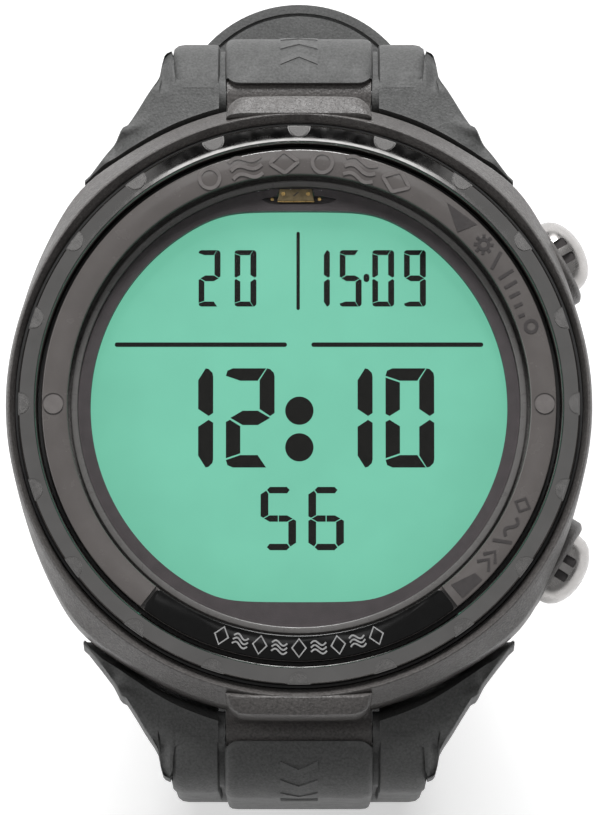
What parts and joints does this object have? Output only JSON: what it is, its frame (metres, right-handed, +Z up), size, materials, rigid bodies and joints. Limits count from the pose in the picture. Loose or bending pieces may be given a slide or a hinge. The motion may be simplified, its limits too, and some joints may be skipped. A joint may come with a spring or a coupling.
{
  "type": "dive computer",
  "caption": "Wrist dive computer with a round back-lit display, side push-buttons, a rear battery hatch and an unbuckled rubber strap.",
  "frame": {"origin": "on the ground under the case's axis, on the flat underside of the long strap half", "axes": "+Z up out of the display, +Y towards 12 o'clock, +X towards the buttons at 3 o'clock"},
  "size_m": [0.05, 0.0769, 0.0614],
  "materials": {
    "case_plastic": "fine satin",
    "cover_plastic": "satin",
    "hatch_plastic": "satin",
    "label_plastic": "glossy",
    "nameplate_plastic": "piano black",
    "trim_metal": "polished dark grey",
    "strap_rubber": "matte",
    "seal_rubber": "smooth",
    "steel": "polished",
    "dark_steel": "satin",
    "gold": "plated",
    "board": "solder mask",
    "black_chip": "moulded",
    "white_plastic": "moulded",
    "lcd_green": "back-lit, with dark digits",
    "mask_black": "matte",
    "lens_clear": "clear"
  },
  "bodies": {
    "case": {"backlight_led": "gold", "backlight_panel": "white_plastic", "battery_cell": "steel", "buzzer_disc": "gold", "case_body": "case_plastic", "circuit_board": "board", "connector_lower": "mask_black", "connector_upper": "mask_black", "contact_centre": "gold", "contact_side": "gold", "display_mask": "mask_black", "escape_bushing": "gold", "escape_oring": "seal_rubber", "escape_spring": "steel", "label_ring": "label_plastic", "lcd_panel": "lcd_green", "lens": "lens_clear", "lens_gasket": "seal_rubber", "lug_pin_lower": "steel", "lug_pin_upper": "steel", "memory_chip": "black_chip", "module_frame": "white_plastic", "nameplate": "nameplate_plastic", "pressure_sensor": "steel", "processor_chip": "black_chip", "quartz_crystal": "steel", "rear_cover": "cover_plastic", "rear_gasket": "seal_rubber", "rear_screw_1": "steel", "rear_screw_2": "steel", "rear_screw_3": "steel", "rear_screw_4": "steel", "select_bushing": "gold", "select_oring": "seal_rubber", "select_spring": "steel", "switch_escape": "dark_steel", "switch_select": "dark_steel", "trim_ring": "trim_metal"},
    "upper_strap": {"strap_upper": "strap_rubber"},
    "lower_strap": {"strap_lower": "strap_rubber"},
    "buckle": {"buckle_frame": "steel", "buckle_pin": "steel"},
    "prong": {"buckle_prong": "steel"},
    "keeper": {"strap_keeper": "strap_rubber"},
    "select": {"select_button": "steel", "select_clip": "dark_steel"},
    "escape": {"escape_button": "steel", "escape_clip": "dark_steel"},
    "hatch_seal": {"hatch_oring": "seal_rubber"},
    "hatch": {"battery_hatch": "hatch_plastic"}
  },
  "joints": [
    {"name": "upper_strap_swing", "type": "hinge", "parent": "case", "child": "upper_strap", "pos_m": [0, 0.0276, 0.0534], "axis": [1, 0, 0], "range_deg": [0, 14]},
    {"name": "lower_strap_swing", "type": "hinge", "parent": "case", "child": "lower_strap", "pos_m": [0, -0.0276, 0.0534], "axis": [-1, 0, 0], "range_deg": [0, 30]},
    {"name": "buckle_swing", "type": "hinge", "parent": "upper_strap", "child": "buckle", "pos_m": [0, -0.01384, 0.02491], "axis": [1, 0, 0], "range_deg": [-200, 5]},
    {"name": "prong_swing", "type": "hinge", "parent": "buckle", "child": "prong", "pos_m": [0, -0.01384, 0.02491], "axis": [1, 0, 0], "range_deg": [0, 15]},
    {"name": "keeper_slide", "type": "slide", "parent": "upper_strap", "child": "keeper", "axis": [0, -0.9397, 0.342], "range_m": [-0.002, 0.002]},
    {"name": "select_press", "type": "slide", "parent": "case", "child": "select", "axis": [-0.8572, -0.515, 0], "range_m": [0, 0.0012], "stiffness_N_per_m": 400, "springref_m": -0.001, "deforming": ["select_spring"]},
    {"name": "escape_press", "type": "slide", "parent": "case", "child": "escape", "axis": [-0.8572, 0.515, 0], "range_m": [0, 0.0012], "stiffness_N_per_m": 400, "springref_m": -0.001, "deforming": ["escape_spring"]},
    {"name": "hatch_lift", "type": "slide", "parent": "case", "child": "hatch_seal", "axis": [0, 0, -1], "range_m": [0, 0.00113]},
    {"name": "hatch_turn", "type": "hinge", "parent": "hatch_seal", "child": "hatch", "pos_m": [0, 0, 0.046], "axis": [0, 0, -1], "range_deg": [0, 540]}
  ],
  "couplings": [
    {"joint": "hatch_lift", "follows": "hatch_turn", "m_per_rad": 0.00011937}
  ]
}
